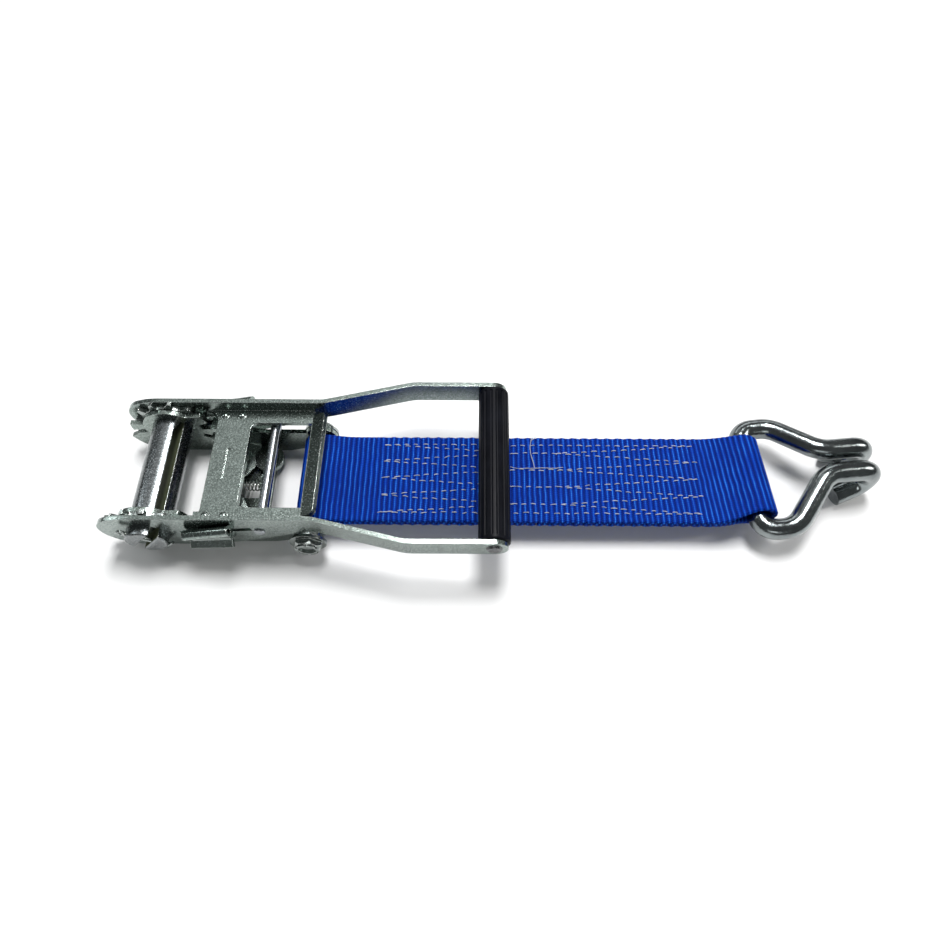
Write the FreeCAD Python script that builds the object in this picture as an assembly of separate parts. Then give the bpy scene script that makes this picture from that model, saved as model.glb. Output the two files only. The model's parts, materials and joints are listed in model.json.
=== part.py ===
import FreeCAD, Part
import math
import os

# Ratchet tie down, fixed-end half: ratchet buckle, sewn webbing loop and claw hook.
# Millimetres. The model is laid out with X = 0 on the spindle axis, +X towards the hook,
# Y across the webbing and Z = 0 on the surface it lies on, then moved to its origin.

os.makedirs("parts", exist_ok=True)
V = FreeCAD.Vector
Y_AXIS = V(0, 1, 0)
Z_AXIS = V(0, 0, 1)

# ---- Driving dimensions -------------------------------------------------------------
FRAME_INNER = 26.5          # half the clear width between the frame plates
SHEET = 2.5                 # frame sheet thickness
SIDE_GAP = 0.3              # side clearance between plates that turn past each other
WHEEL_T = 2.4
HANDLE_T = 2.4
FRAME_OUTER = FRAME_INNER + SHEET
WHEEL_INNER = FRAME_OUTER + SIDE_GAP
WHEEL_OUTER = WHEEL_INNER + WHEEL_T
HANDLE_INNER = WHEEL_OUTER + SIDE_GAP
HANDLE_OUTER = HANDLE_INNER + HANDLE_T

AXIS_Z = 22.5               # spindle axis height
SPINDLE_R = 10.2
SPINDLE_END = 39.2          # half the spindle length
SLOT_W = 4.6                # gap between the two half shafts, for the webbing
SLOT_ANGLE = 50.0           # lean of the slot, up and towards the hook
BORE_R = SPINDLE_R + 0.1
PIN_R = 1.15
PIN_Y = HANDLE_OUTER + 2.8

TEETH = 12
TIP_R = 19.5
ROOT_R = 15.6

PAWL_T = 3.0
DRIVE_ANGLE = 7.0           # slope of the drive pawl's slide, on a line through the spindle axis
DRIVE_REST_R = 22.4         # nose radius with the pawl drawn back onto the cam
CATCH_ANGLE = -23.0         # slope of the frame pawl's slide
CATCH_REST_R = 19.8
DRIVE_BACK = 44.6           # rear edge of each pawl, measured along its slide
CATCH_BACK = 40.0
CATCH_WING = 45.5
PAWL_SLOT_CLEAR = 0.2
DRIVE_SPRING_Y = 28.0
RELEASE_ANGLE = 187.0       # where the drive pawl drops in with the handle fully open

CAM_R = 22.0
CAM_LOW_R = 15.3
LOBE_R = 27.0
LOBE_END = 229.0
BOLT_X, BOLT_Z = 78.3, 14.1
BOLT_R = 5.2
BOLT_END = 38.3             # how far the shank reaches into the nut
SPACER_END = 34.0
FRAME_TOP_Z = 18.8
FRAME_WEB_X = (23.0, 52.0)  # floor of the frame that joins its two side plates
SEAT_X = 48.0               # upright tab that the frame pawl's spring bears on

HANDLE_TOP = 40.5
ARM_HEIGHT = 13.5
GRIP_X = 172.9
GRIP_Z = HANDLE_TOP - ARM_HEIGHT / 2
GRIP_R = 7.9
GRIP_ROD_R = 4.0
ARM_OUTER = 45.6            # half width over the spread arms
ARM_BEND_X = (84.0, 130.0)
WEB_X = (27.8, 45.6)
WEB_TOP = 33.0
WINDOW_END = 78.3
WINDOW_HALF = 24.3
CROSS_BAR = (57.0, 26.8)
CROSS_BAR_R = 2.8

WEBBING_W = 50.0
WEBBING_T = 2.6
WEBBING_Z = 15.9            # middle of the two sewn layers
BOLT_LOOP_R = BOLT_R + 0.1
HOOK_LOOP_R = 6.6
HOOK_LOOP_SKEW = 4.5        # degrees by which the hook's eye is sewn out of square
HOOK_LOOP_PINCH = {-1: 5.2, 1: 0.3}  # how far each selvedge is drawn in at the hook
HOOK_POS = V(309.0, 2.2, 15.0)
HOOK_YAW = 3.5
HOOK_WIRE_R = 5.5


# ---- Helpers ------------------------------------------------------------------------
def box(x0, x1, y0, y1, z0, z1):
    return Part.makeBox(x1 - x0, y1 - y0, z1 - z0, V(x0, y0, z0))


def rod(x, z, radius, y0, y1):
    return Part.makeCylinder(radius, y1 - y0, V(x, y0, z), Y_AXIS)


def outline_xz(start, steps):
    """Closed face in the XZ plane: each step is a line to (x, z) or an arc (mid, end)."""
    edges = []
    here = V(start[0], 0, start[1])
    for step in steps:
        if len(step) == 2 and isinstance(step[0], tuple):
            mid = V(step[0][0], 0, step[0][1])
            end = V(step[1][0], 0, step[1][1])
            edges.append(Part.Arc(here, mid, end).toShape())
        else:
            end = V(step[0], 0, step[1])
            edges.append(Part.makeLine(here, end))
        here = end
    return Part.Face(Part.Wire(edges))


def plate(face, y0, y1):
    solid = face.extrude(V(0, y1 - y0, 0))
    solid.translate(V(0, y0, 0))
    return solid


def polar(radius, degrees):
    angle = math.radians(degrees)
    return (radius * math.cos(angle), AXIS_Z + radius * math.sin(angle))


def sector(radius, start, end):
    """Steps of an arc about the spindle axis, from the current point."""
    return (polar(radius, (start + end) / 2), polar(radius, end))


def tangent_to_ground(point, radius):
    """Steps of an arc from a point down to Z = 0, level where it gets there."""
    x, z = point
    end_x = x + math.sqrt(radius ** 2 - (radius - z) ** 2)
    half = math.atan2(end_x - x, radius - z) / 2
    return ((end_x - radius * math.sin(half), radius - radius * math.cos(half)), (end_x, 0.0))


def tilted(solid, degrees):
    """Turn a solid built along +X at the origin onto a sloping line through the spindle axis."""
    solid.translate(V(0, 0, AXIS_Z))
    solid.rotate(V(0, 0, AXIS_Z), Y_AXIS, -degrees)
    return solid


def rounded_path(points, radii):
    """Wire of straight runs joined by tangent arcs, one radius per inner point."""
    edges = []
    here = points[0]
    for before, corner, after, radius in zip(points, points[1:], points[2:], radii):
        back = (before - corner).normalize()
        ahead = (after - corner).normalize()
        half = back.getAngle(ahead) / 2
        reach = radius / math.tan(half)
        start = corner + back * reach
        end = corner + ahead * reach
        middle = (back + ahead).normalize()
        crown = corner + middle * (radius / math.sin(half) - radius)
        if here.distanceToPoint(start) > 0.001:
            edges.append(Part.makeLine(here, start))
        edges.append(Part.Arc(start, crown, end).toShape())
        here = end
    edges.append(Part.makeLine(here, points[-1]))
    return Part.Wire(edges)


def wire_rod(points, radii, radius):
    path = rounded_path(points, radii)
    heading = points[1] - points[0]
    ring = Part.Wire(Part.makeCircle(radius, points[0], heading))
    return path.makePipeShell([ring], True, False)


def helix_spring(coil_r, wire_r, length, turns):
    """Round-wire coil along +Z, made of a swept helix."""
    helix = Part.makeHelix(length / turns, length, coil_r)
    ring = Part.Wire(Part.makeCircle(wire_r, V(coil_r, 0, 0), Y_AXIS))
    return Part.Wire(helix.Edges).makePipeShell([ring], True, True)


def mirrored(solid):
    return solid.mirror(V(0, 0, 0), Y_AXIS)


# ---- Frame --------------------------------------------------------------------------
def frame_outline():
    """Side plate: cam lobe round the spindle, shelf for the pawls, ear for the bolt."""
    notch = math.degrees(math.asin((PAWL_T / 2 + PAWL_SLOT_CLEAR) / CAM_LOW_R))
    ear_r, ear_foot, ear_brow = 9.0, 4.0, 5.0
    stop_r = CAM_R - 0.5
    ear_join = math.sqrt(ear_r ** 2 - (FRAME_TOP_Z - BOLT_Z) ** 2)
    closed_x, closed_z = polar(CAM_LOW_R, DRIVE_ANGLE - notch)
    shelf_z = closed_z - 0.3
    tooth_a = DRIVE_ANGLE + notch
    block_a = RELEASE_ANGLE - 24
    lobe_a = RELEASE_ANGLE + 7
    start = (closed_x + 2.0, shelf_z)
    steps = [
        (closed_x, shelf_z),
        polar(CAM_LOW_R, tooth_a),
        polar(stop_r, tooth_a + 4),
        sector(stop_r, tooth_a + 4, tooth_a + 20),
        polar(CAM_LOW_R, tooth_a + 34),
        sector(CAM_LOW_R, tooth_a + 34, block_a),
        polar(CAM_R, block_a + 4),
        sector(CAM_R, block_a + 4, lobe_a),
        polar(LOBE_R, lobe_a + 3),
        sector(LOBE_R, lobe_a + 3, LOBE_END),
        tangent_to_ground(polar(LOBE_R, LOBE_END), 30.0),
        (58.0, 0.0),
        (BOLT_X + ear_foot, BOLT_Z - math.sqrt(ear_r ** 2 - ear_foot ** 2)),
        ((BOLT_X + ear_r, BOLT_Z), (BOLT_X, BOLT_Z + ear_r)),
        ((BOLT_X - ear_brow, BOLT_Z + math.sqrt(ear_r ** 2 - ear_brow ** 2)),
         (BOLT_X - ear_join, FRAME_TOP_Z)),
        (50.0, FRAME_TOP_Z),
        (26.0, shelf_z),
        start,
    ]
    return outline_xz(start, steps)


def make_frame():
    """Two side plates joined by a floor, with a tab bent up for the frame pawl's spring."""
    half_slot = PAWL_T / 2 + PAWL_SLOT_CLEAR
    slot_start, catch_end = ROOT_R - 0.1, 46.0
    opening_half, opening_fillet = 5.0, 1.5
    tab_half, tab_top = 4.5, 12.5
    y0, y1 = FRAME_INNER - 1, FRAME_OUTER + 1
    side = plate(frame_outline(), FRAME_INNER, FRAME_OUTER)
    side = side.cut(rod(0, AXIS_Z, BORE_R, y0, y1))
    side = side.cut(rod(BOLT_X, BOLT_Z, BOLT_R, y0, y1))
    release = box(slot_start, CAM_R + 3, y0, y1, -half_slot, half_slot)
    side = side.cut(tilted(release, RELEASE_ANGLE))
    catch = box(slot_start, catch_end, y0, y1, -half_slot, half_slot)
    side = side.cut(tilted(catch, CATCH_ANGLE))
    frame = side.fuse(mirrored(side))
    frame = frame.fuse(box(*FRAME_WEB_X, -FRAME_INNER, FRAME_INNER, 0, SHEET))
    opening = box(33.0, 46.5, -opening_half, opening_half, -1, SHEET + 1)
    upright = [e for e in opening.Edges if e.BoundBox.ZLength > 1]
    frame = frame.cut(opening.makeFillet(opening_fillet, upright))
    frame = frame.fuse(box(SEAT_X, SEAT_X + SHEET, -tab_half, tab_half, 0, tab_top))
    return frame.removeSplitter()


def make_strap_bolt():
    flange_r, flange_t = 9.3, 1.6
    head_r, head_t, head_fillet = 6.8, 3.0, 1.2
    seat = FRAME_OUTER + flange_t
    shank = rod(BOLT_X, BOLT_Z, BOLT_R, -BOLT_END, FRAME_OUTER)
    flange = rod(BOLT_X, BOLT_Z, flange_r, FRAME_OUTER, seat)
    head = rod(BOLT_X, BOLT_Z, head_r, seat, seat + head_t)
    bolt = shank.fuse([flange, head]).removeSplitter()
    rim = [e for e in bolt.Edges if e.BoundBox.YMin > seat + head_t - 0.01]
    return bolt.makeFillet(head_fillet, rim)


def tube(x, z, outer, inner, y0, y1):
    return rod(x, z, outer, y0, y1).cut(rod(x, z, inner, y0 - 1, y1 + 1))


def make_bolt_spacer():
    spacer_r = 7.6
    return tube(BOLT_X, BOLT_Z, spacer_r, BOLT_R, -SPACER_END, -FRAME_OUTER)


def make_lock_nut():
    """Flanged hexagon nut whose crown is crimped in six places."""
    flange_r, flange_t = 9.4, 1.7
    corner_r, first_corner = 7.6, 12
    crown_r, crown_hole, crown_t = 6.2, 4.4, 1.2
    crimp_half, crimp_depth = 0.8, 0.8
    hex_y = -SPACER_END - flange_t
    hex_t = BOLT_END + hex_y
    crown_y = -BOLT_END - crown_t
    flange = tube(BOLT_X, BOLT_Z, flange_r, BOLT_R, hex_y, -SPACER_END)
    corners = []
    for k in range(7):
        angle = math.radians(60 * k + first_corner)
        corners.append(V(BOLT_X + corner_r * math.cos(angle), hex_y, BOLT_Z + corner_r * math.sin(angle)))
    hexagon = Part.Face(Part.makePolygon(corners)).extrude(V(0, -hex_t, 0))
    chamfer = Part.makeCone(corner_r - 1, corner_r + 1, hex_t, V(BOLT_X, -BOLT_END, BOLT_Z), Y_AXIS)
    crown = tube(BOLT_X, BOLT_Z, crown_r, crown_hole, crown_y, -BOLT_END)
    nut = flange.fuse([hexagon.common(chamfer), crown])
    nut = nut.cut(rod(BOLT_X, BOLT_Z, BOLT_R, -BOLT_END, 1 - SPACER_END))
    for k in range(6):
        bite = box(crown_r - 1.0, crown_r + 0.8, crown_y - 0.5, crown_y + crimp_depth,
                   -crimp_half, crimp_half)
        bite.rotate(V(0, 0, 0), Y_AXIS, 60 * k + 30)
        bite.translate(V(BOLT_X, 0, BOLT_Z))
        nut = nut.cut(bite)
    return nut.removeSplitter()


# ---- Spindle ------------------------------------------------------------------------
def make_half_shaft(side):
    """One half of the split spindle, above the webbing slot (1) or below it (-1)."""
    end_chamfer = 0.6
    room = 2 * SPINDLE_R
    shaft = rod(0, 0, SPINDLE_R, -SPINDLE_END, SPINDLE_END)
    keep = box(-room, room, -SPINDLE_END - 1, SPINDLE_END + 1, SLOT_W / 2, room)
    half = shaft.common(keep if side > 0 else keep.mirror(V(0, 0, 0), Z_AXIS))
    rims = [e for e in half.Edges if e.BoundBox.YLength < 0.01]
    return tilted(half.makeChamfer(end_chamfer, rims), SLOT_ANGLE)


def wheel_outline():
    """Saw teeth: a steep face that the pawls catch on, and a sloping back."""
    pitch = 360.0 / TEETH
    nose_clear = 0.15
    steep, land = 2.0, 7.0          # degrees from the valley's end to the tooth's tip and past it
    nose = math.degrees(math.asin((PAWL_T / 2 + nose_clear) / ROOT_R))
    start = polar(ROOT_R, CATCH_ANGLE - nose)
    steps = []
    for k in range(TEETH):
        valley = CATCH_ANGLE + k * pitch
        steps.append(sector(ROOT_R, valley - nose, valley + nose))
        steps.append(polar(TIP_R, valley + nose + steep))
        steps.append(sector(TIP_R, valley + nose + steep, valley + nose + land))
        steps.append(polar(ROOT_R, valley + pitch - nose))
    return outline_xz(start, steps)


def make_wheel(half_shafts, y0, y1):
    wheel = plate(wheel_outline(), y0, y1)
    for half in half_shafts:
        wheel = wheel.cut(half)
    return wheel


def make_split_pin(y):
    """Cotter pin across both half shafts: round eye on one side, spread legs on the other."""
    proud = 0.6
    eye_r, eye_wire = 1.5, 0.75
    leg_r, leg_len, leg_offset, leg_droop = 0.8, 3.4, 0.4, 0.12
    shank = Part.makeCylinder(PIN_R, 2 * (SPINDLE_R + proud), V(0, y, -SPINDLE_R - proud), Z_AXIS)
    pin = shank.fuse(Part.makeTorus(eye_r, eye_wire, V(0, y, SPINDLE_R + 2.3), Y_AXIS))
    for lean in (-1, 1):
        foot = V(lean * leg_offset, y, -SPINDLE_R - leg_r - 0.1)
        pin = pin.fuse(Part.makeCylinder(leg_r, leg_len, foot, V(lean, 0, -leg_droop)))
    return tilted(pin.removeSplitter(), SLOT_ANGLE)


def pin_hole(y):
    reach = 3 * SPINDLE_R
    hole = Part.makeCylinder(PIN_R, 2 * reach, V(0, y, -reach), Z_AXIS)
    return tilted(hole, SLOT_ANGLE)


# ---- Handle -------------------------------------------------------------------------
def handle_outline():
    """Side view of a handle plate: lobe at the spindle, belly, then the long arm."""
    arm_bottom = HANDLE_TOP - ARM_HEIGHT
    steps = [
        (-2.0, HANDLE_TOP),
        ((-8.6, 39.9), (-15.1, 38.0)),
        ((-20.4, 33.6), (-22.4, 26.7)),
        ((-15.3, 12.3), (0.0, 10.4)),
        ((22.0, 9.4), (43.5, 13.2)),
        (56.0, 16.6),
        (72.0, 23.6),
        ((79.0, 26.2), (86.0, arm_bottom)),
        (GRIP_X, arm_bottom),
        ((GRIP_X + ARM_HEIGHT / 2, GRIP_Z), (GRIP_X, HANDLE_TOP)),
        (120.0, HANDLE_TOP),
    ]
    return outline_xz((120.0, HANDLE_TOP), steps)


def side_sheet():
    """Plan view of one handle plate: straight, spread outwards, straight again."""
    x0, x1 = ARM_BEND_X
    bend_radii = [30.0, 24.0]
    near_end, far_end = -2 * SPINDLE_R - 20, GRIP_X + 30
    spread = ARM_OUTER - HANDLE_OUTER
    middle = (HANDLE_INNER + HANDLE_OUTER) / 2
    corners = [(near_end, middle), (x0, middle), (x1, middle + spread), (far_end, middle + spread)]
    path = rounded_path([V(x, y, 0) for x, y in corners], bend_radii)
    edge = path.makeOffset2D(HANDLE_T / 2, 0, False, True)
    other = path.makeOffset2D(-HANDLE_T / 2, 0, False, True)
    ends = [Part.makeLine(edge.OrderedVertexes[k].Point, other.OrderedVertexes[k].Point) for k in (0, -1)]
    ring = Part.Wire(Part.__sortEdges__(edge.Edges + ends + other.Edges))
    return Part.Face(ring).extrude(V(0, 0, HANDLE_TOP + 20))


def make_handle():
    """Two side plates with spread arms, joined by the web; each carries a bent-out pawl guard."""
    y0, y1 = HANDLE_INNER - 5, ARM_OUTER + 5
    slot_x = (17.0, 54.0)
    guard_x, guard_z, guard_out = (19.5, 41.5), (17.5, 19.7), 5.4
    guard_droop, guard_turn = -42, -4
    half_slot = PAWL_T / 2 + PAWL_SLOT_CLEAR
    side = plate(handle_outline(), y0, y1).common(side_sheet())
    side = side.cut(rod(0, AXIS_Z, BORE_R, y0, y1))
    side = side.cut(rod(GRIP_X, GRIP_Z, GRIP_ROD_R, y0, y1))
    side = side.cut(rod(*CROSS_BAR, CROSS_BAR_R, y0, y1))
    side = side.cut(tilted(box(*slot_x, y0, y1, -half_slot, half_slot), DRIVE_ANGLE))
    guard = box(*guard_x, HANDLE_OUTER - 0.8, HANDLE_OUTER + guard_out, *guard_z)
    hinge = V(30.0, HANDLE_OUTER, 18.5)
    guard.rotate(hinge, V(1, 0, 0), guard_droop)
    guard.rotate(hinge, Y_AXIS, guard_turn)
    side = side.fuse(guard)
    handle = side.fuse(mirrored(side))
    handle = handle.fuse(make_handle_web())
    return handle.removeSplitter()


def make_handle_web():
    """Sunk web with a finger window, flared to the side plates and lipped at its far end."""
    flare = 7.0
    low = WEB_TOP - HANDLE_T
    edge = HANDLE_INNER + 0.3
    throat = HANDLE_INNER - flare
    blank = box(WEB_X[0] - flare, WINDOW_END - 0.5, -edge, edge, low, WEB_TOP)
    mouth = box(WEB_X[0] - flare - 5, WEB_X[0], -throat, throat, low - 1, WEB_TOP + 1)
    for side in (-1, 1):
        centre = V(WEB_X[0] - flare, side * (HANDLE_INNER - flare), low - 1)
        mouth = mouth.fuse(Part.makeCylinder(flare, HANDLE_T + 2, centre))
    window = box(WEB_X[1], WINDOW_END + 20, -WINDOW_HALF, WINDOW_HALF, low - 1, WEB_TOP + 1)
    corners = [e for e in window.Edges if e.BoundBox.ZLength > 1 and e.BoundBox.XMax < WEB_X[1] + 0.01]
    window = window.makeFillet(4.0, corners)
    web = blank.cut(mouth).cut(window)
    return add_dimples(web.fuse(web_lip(low)).cut(web_groove()))


def web_lip(low):
    """Turned-up strip along the far end of the finger window."""
    half = FRAME_OUTER
    foot = WINDOW_END - 1.0
    face = outline_xz((foot, low),
                      [(WINDOW_END + 0.4, low), (WINDOW_END + 7.6, low + 4.9),
                       (WINDOW_END + 6.2, low + 6.9), (WINDOW_END - 0.6, WEB_TOP),
                       (foot, WEB_TOP), (foot, low)])
    lip = plate(face, -half, half)
    ends = [e for e in lip.Edges if e.BoundBox.YLength < 0.01 and e.BoundBox.XMin > WINDOW_END + 6]
    return lip.makeFillet(3.0, ends)


def web_groove():
    """Shallow plain groove across the middle of the web."""
    depth, half_len = 0.7, 9.0
    groove = box(35.6, 37.6, -half_len, half_len, WEB_TOP - depth, WEB_TOP + 1)
    return groove.makeFillet(0.9, [e for e in groove.Edges if e.BoundBox.ZLength > 1])


def add_dimples(web):
    """Pressed domes that stiffen the bends between the web and the side plates."""
    dimple_r, sunk, inset = 2.6, 1.6, 3.2
    above = box(0, WEB_X[1] + 20, -HANDLE_INNER, HANDLE_INNER, WEB_TOP - 0.5, WEB_TOP + 5)
    for side in (-1, 1):
        for x in (31.0, 40.0):
            dimple = Part.makeSphere(dimple_r, V(x, side * (HANDLE_INNER - inset), WEB_TOP - sunk))
            web = web.fuse(dimple.common(above))
    return web


def make_grip():
    """Moulded sleeve with lengthwise flutes."""
    flutes, flute_r, flute_out, flute_end = 16, 1.05, 0.55, 2.0
    half = ARM_OUTER - HANDLE_T - SIDE_GAP
    grip = rod(GRIP_X, GRIP_Z, GRIP_R, -half, half)
    grip = grip.makeFillet(0.8, [e for e in grip.Edges if e.BoundBox.YLength < 0.01])
    for k in range(flutes):
        angle = 2 * math.pi * (k + 0.5) / flutes
        x = GRIP_X + (GRIP_R + flute_out) * math.cos(angle)
        z = GRIP_Z + (GRIP_R + flute_out) * math.sin(angle)
        grip = grip.cut(rod(x, z, flute_r, flute_end - half, half - flute_end))
    return grip.cut(rod(GRIP_X, GRIP_Z, GRIP_ROD_R, -half - 1, half + 1))


def make_grip_rod():
    end = ARM_OUTER + 1.0
    core = rod(GRIP_X, GRIP_Z, GRIP_ROD_R, -end, end)
    return core.makeChamfer(0.8, [e for e in core.Edges if e.BoundBox.YLength < 0.01])


def make_cross_bar():
    end = HANDLE_OUTER + 1.0
    bar = rod(*CROSS_BAR, CROSS_BAR_R, -end, end)
    return bar.makeChamfer(0.5, [e for e in bar.Edges if e.BoundBox.YLength < 0.01])


# ---- Pawls and springs --------------------------------------------------------------
def rounded_relief(x0, x1):
    """Bay in a pawl's front edge that clears the spindle and the webbing wound on it."""
    bay = box(x0, x1, -24.0, 24.0, -PAWL_T, PAWL_T)
    corners = [e for e in bay.Edges if e.BoundBox.ZLength > 1 and e.BoundBox.XMin > x1 - 0.1]
    return bay.makeFillet(3.0, corners)


def make_drive_pawl():
    """Sliding plate under the handle web, with noses for the wheels and ears outside the plates."""
    half_t = PAWL_T / 2
    reach = HANDLE_INNER - SIDE_GAP
    bay_end = 28.0
    ear_x, ear_y, riser_t = (24.0, 44.0), HANDLE_OUTER + 3.0, 2.0
    curl_r, curl_hole, curl_x, curl_z, curl_len, curl_lean = 2.7, 1.2, 21.4, 4.4, 24.5, -7.0
    body = box(DRIVE_REST_R, DRIVE_BACK, -reach, reach, -half_t, half_t)
    body = body.cut(rounded_relief(DRIVE_REST_R - 1, bay_end))
    neck = box(*ear_x, reach - 0.2, ear_y + 1.4, -half_t, half_t)
    foot = HANDLE_OUTER + SIDE_GAP
    riser = box(*ear_x, foot, foot + riser_t, -half_t, 5.0)
    curl = Part.makeCylinder(curl_r, curl_len, V(curl_x, ear_y, curl_z), V(1, 0, 0))
    curl = curl.cut(Part.makeCylinder(curl_hole, curl_len + 2, V(curl_x - 1, ear_y, curl_z), V(1, 0, 0)))
    curl.rotate(V(33.0, ear_y, curl_z), Y_AXIS, curl_lean)
    ear = neck.fuse([riser, curl])
    body = body.fuse([ear, mirrored(ear)])
    return tilted(body.removeSplitter(), DRIVE_ANGLE)


def make_frame_pawl():
    """Sliding plate through the frame's slots, with flared wings and a thumb tab."""
    half_t = PAWL_T / 2
    bay_end = 25.5
    tab_r, tab_t = 8.0, 2.6
    rim = FRAME_INNER - 0.4
    body = box(CATCH_REST_R, CATCH_BACK, -WHEEL_OUTER, WHEEL_OUTER, -half_t, half_t)
    body = body.cut(rounded_relief(CATCH_REST_R - 1, bay_end))
    for side in (-1, 1):
        corners = [(CATCH_BACK - 1, 5.0), (CATCH_BACK, 5.0), (CATCH_WING, 13.5), (CATCH_WING, rim),
                   (CATCH_BACK - 1, rim)]
        wing = Part.Face(Part.makePolygon([V(x, side * y, -half_t) for x, y in corners + corners[:1]]))
        body = body.fuse(wing.extrude(V(0, 0, PAWL_T)))
    body = tilted(body, CATCH_ANGLE)
    tab = Part.makeCylinder(tab_r, tab_t, V(49.0, 17.5, 4.6))
    return body.fuse(tab).removeSplitter()


def make_drive_spring(y):
    coil_r, wire_r, length, turns = 1.6, 0.35, 8.4, 6
    sink = 0.7                      # below the slide line, to clear the cross bar
    spring = helix_spring(coil_r, wire_r, length, turns)
    spring.rotate(V(0, 0, 0), Y_AXIS, 90)
    spring.translate(V(DRIVE_BACK + 0.6, y, -sink))
    return tilted(spring, DRIVE_ANGLE)


def make_frame_spring():
    tilt = math.radians(CATCH_ANGLE)
    start = V(CATCH_BACK * math.cos(tilt) + 1.1, 0, AXIS_Z + CATCH_BACK * math.sin(tilt))
    coil_r, wire_r, turns = 2.3, 0.45, 5
    spring = helix_spring(coil_r, wire_r, SEAT_X - start.x - wire_r - 0.3, turns)
    spring.rotate(V(0, 0, 0), Y_AXIS, 90)
    spring.translate(start)
    return spring


# ---- Webbing and hook ---------------------------------------------------------------
def teardrop(cx, cz, radius, tip_x, tip_z):
    """Closed face: a circle and the two tangents that run from it to a tip."""
    reach = math.hypot(tip_x - cx, tip_z - cz)
    heading = math.atan2(tip_z - cz, tip_x - cx)
    spread = math.acos(radius / reach)

    def on_circle(angle):
        return (cx + radius * math.cos(angle), cz + radius * math.sin(angle))

    return outline_xz(on_circle(heading + spread),
                      [(on_circle(heading + math.pi), on_circle(heading - spread)),
                       (tip_x, tip_z), on_circle(heading + spread)])


def loop_profile(cx, cz, inner, towards, join_x):
    """Side view of a webbing eye: a ring that narrows into the two flat layers."""
    shoulder_in, shoulder_drop, neck_len, tip_len = 8.0, 1.7, 13.0, 9.0
    outer = inner + WEBBING_T
    top, low = WEBBING_Z + WEBBING_T, WEBBING_Z - WEBBING_T
    neck_x = cx + towards * (outer + neck_len)
    shoulder_x = cx + towards * shoulder_in
    shoulder = outer - shoulder_drop
    skin = outline_xz((join_x, top), [(neck_x, top),
                                      ((shoulder_x, cz + shoulder), (cx, cz + outer)),
                                      ((cx - towards * outer, cz), (cx, cz - outer)),
                                      ((shoulder_x, cz - shoulder), (neck_x, low)),
                                      (join_x, low), (join_x, top)])
    return skin.cut(teardrop(cx, cz, inner, cx + towards * (inner + tip_len), WEBBING_Z))


def make_webbing():
    """Doubled webbing with an eye at each end; the hook's eye is skewed and pinched in."""
    half = WEBBING_W / 2
    split_x = 283.0
    taper_x = (284.0, 308.0, 330.0)
    bolt_end = plate(loop_profile(BOLT_X, BOLT_Z, BOLT_LOOP_R, 1, split_x).Faces[0], -half, half)
    shear = math.tan(math.radians(HOOK_LOOP_SKEW))
    loop = loop_profile(HOOK_POS.x, HOOK_POS.z, HOOK_LOOP_R, -1, split_x - 6.0).Faces[0]
    loop.translate(V(shear * (half + HOOK_POS.y), -half, 0))
    hook_end = loop.extrude(V(-shear * WEBBING_W, WEBBING_W, 0))
    webbing = bolt_end.fuse(hook_end)
    for side, pinch in HOOK_LOOP_PINCH.items():
        corners = [(taper_x[0], half), (taper_x[1], half - pinch), (taper_x[2], half - pinch),
                   (taper_x[2], half + 9), (taper_x[0], half + 9)]
        taper = Part.Face(Part.makePolygon([V(x, side * y, 0) for x, y in corners + corners[:1]]))
        webbing = webbing.cut(taper.extrude(V(0, 0, 2 * WEBBING_Z)))
    return webbing.removeSplitter()


def make_hook():
    """Double claw bent from one round bar: eye, converging arms and turned-under, splayed tips."""
    eye_half = 29.6
    gap_half = 6.9
    lean = 4.3                      # the arms meet a little to the far side of the eye's middle
    turn_r = 8.5
    fall, dip = math.radians(75.0), math.radians(12.0)
    splay = {1: math.radians(27.0), -1: math.radians(17.0)}
    drop_len = turn_r * (math.tan(fall / 2) + math.tan((math.pi - fall - dip) / 2)) + 0.4
    tip_len = 18.5
    drop = V(drop_len * math.cos(fall), 0, -drop_len * math.sin(fall))
    arm_z = tip_len * math.sin(dip) + HOOK_WIRE_R * math.cos(dip) - drop.z - HOOK_POS.z
    reach_x = 60.8
    ends = []
    for side in (1, -1):
        out = splay[side]
        back = V(-math.cos(dip) * math.cos(out), side * math.cos(dip) * math.sin(out), -math.sin(dip))
        crest = V(reach_x, side * gap_half + lean, arm_z)
        ends.append([V(0, side * eye_half, 0), V(17, side * eye_half, 2.0),
                     V(37, side * gap_half + lean * 0.8, arm_z), crest, crest + drop,
                     crest + drop + back * tip_len])
    radii = [8.0, 13.0, 13.0, turn_r, turn_r]
    hook = wire_rod(ends[1][::-1] + ends[0], radii[::-1] + radii, HOOK_WIRE_R)
    hook.rotate(V(0, 0, 0), Z_AXIS, HOOK_YAW)
    hook.translate(HOOK_POS)
    return hook


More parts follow.
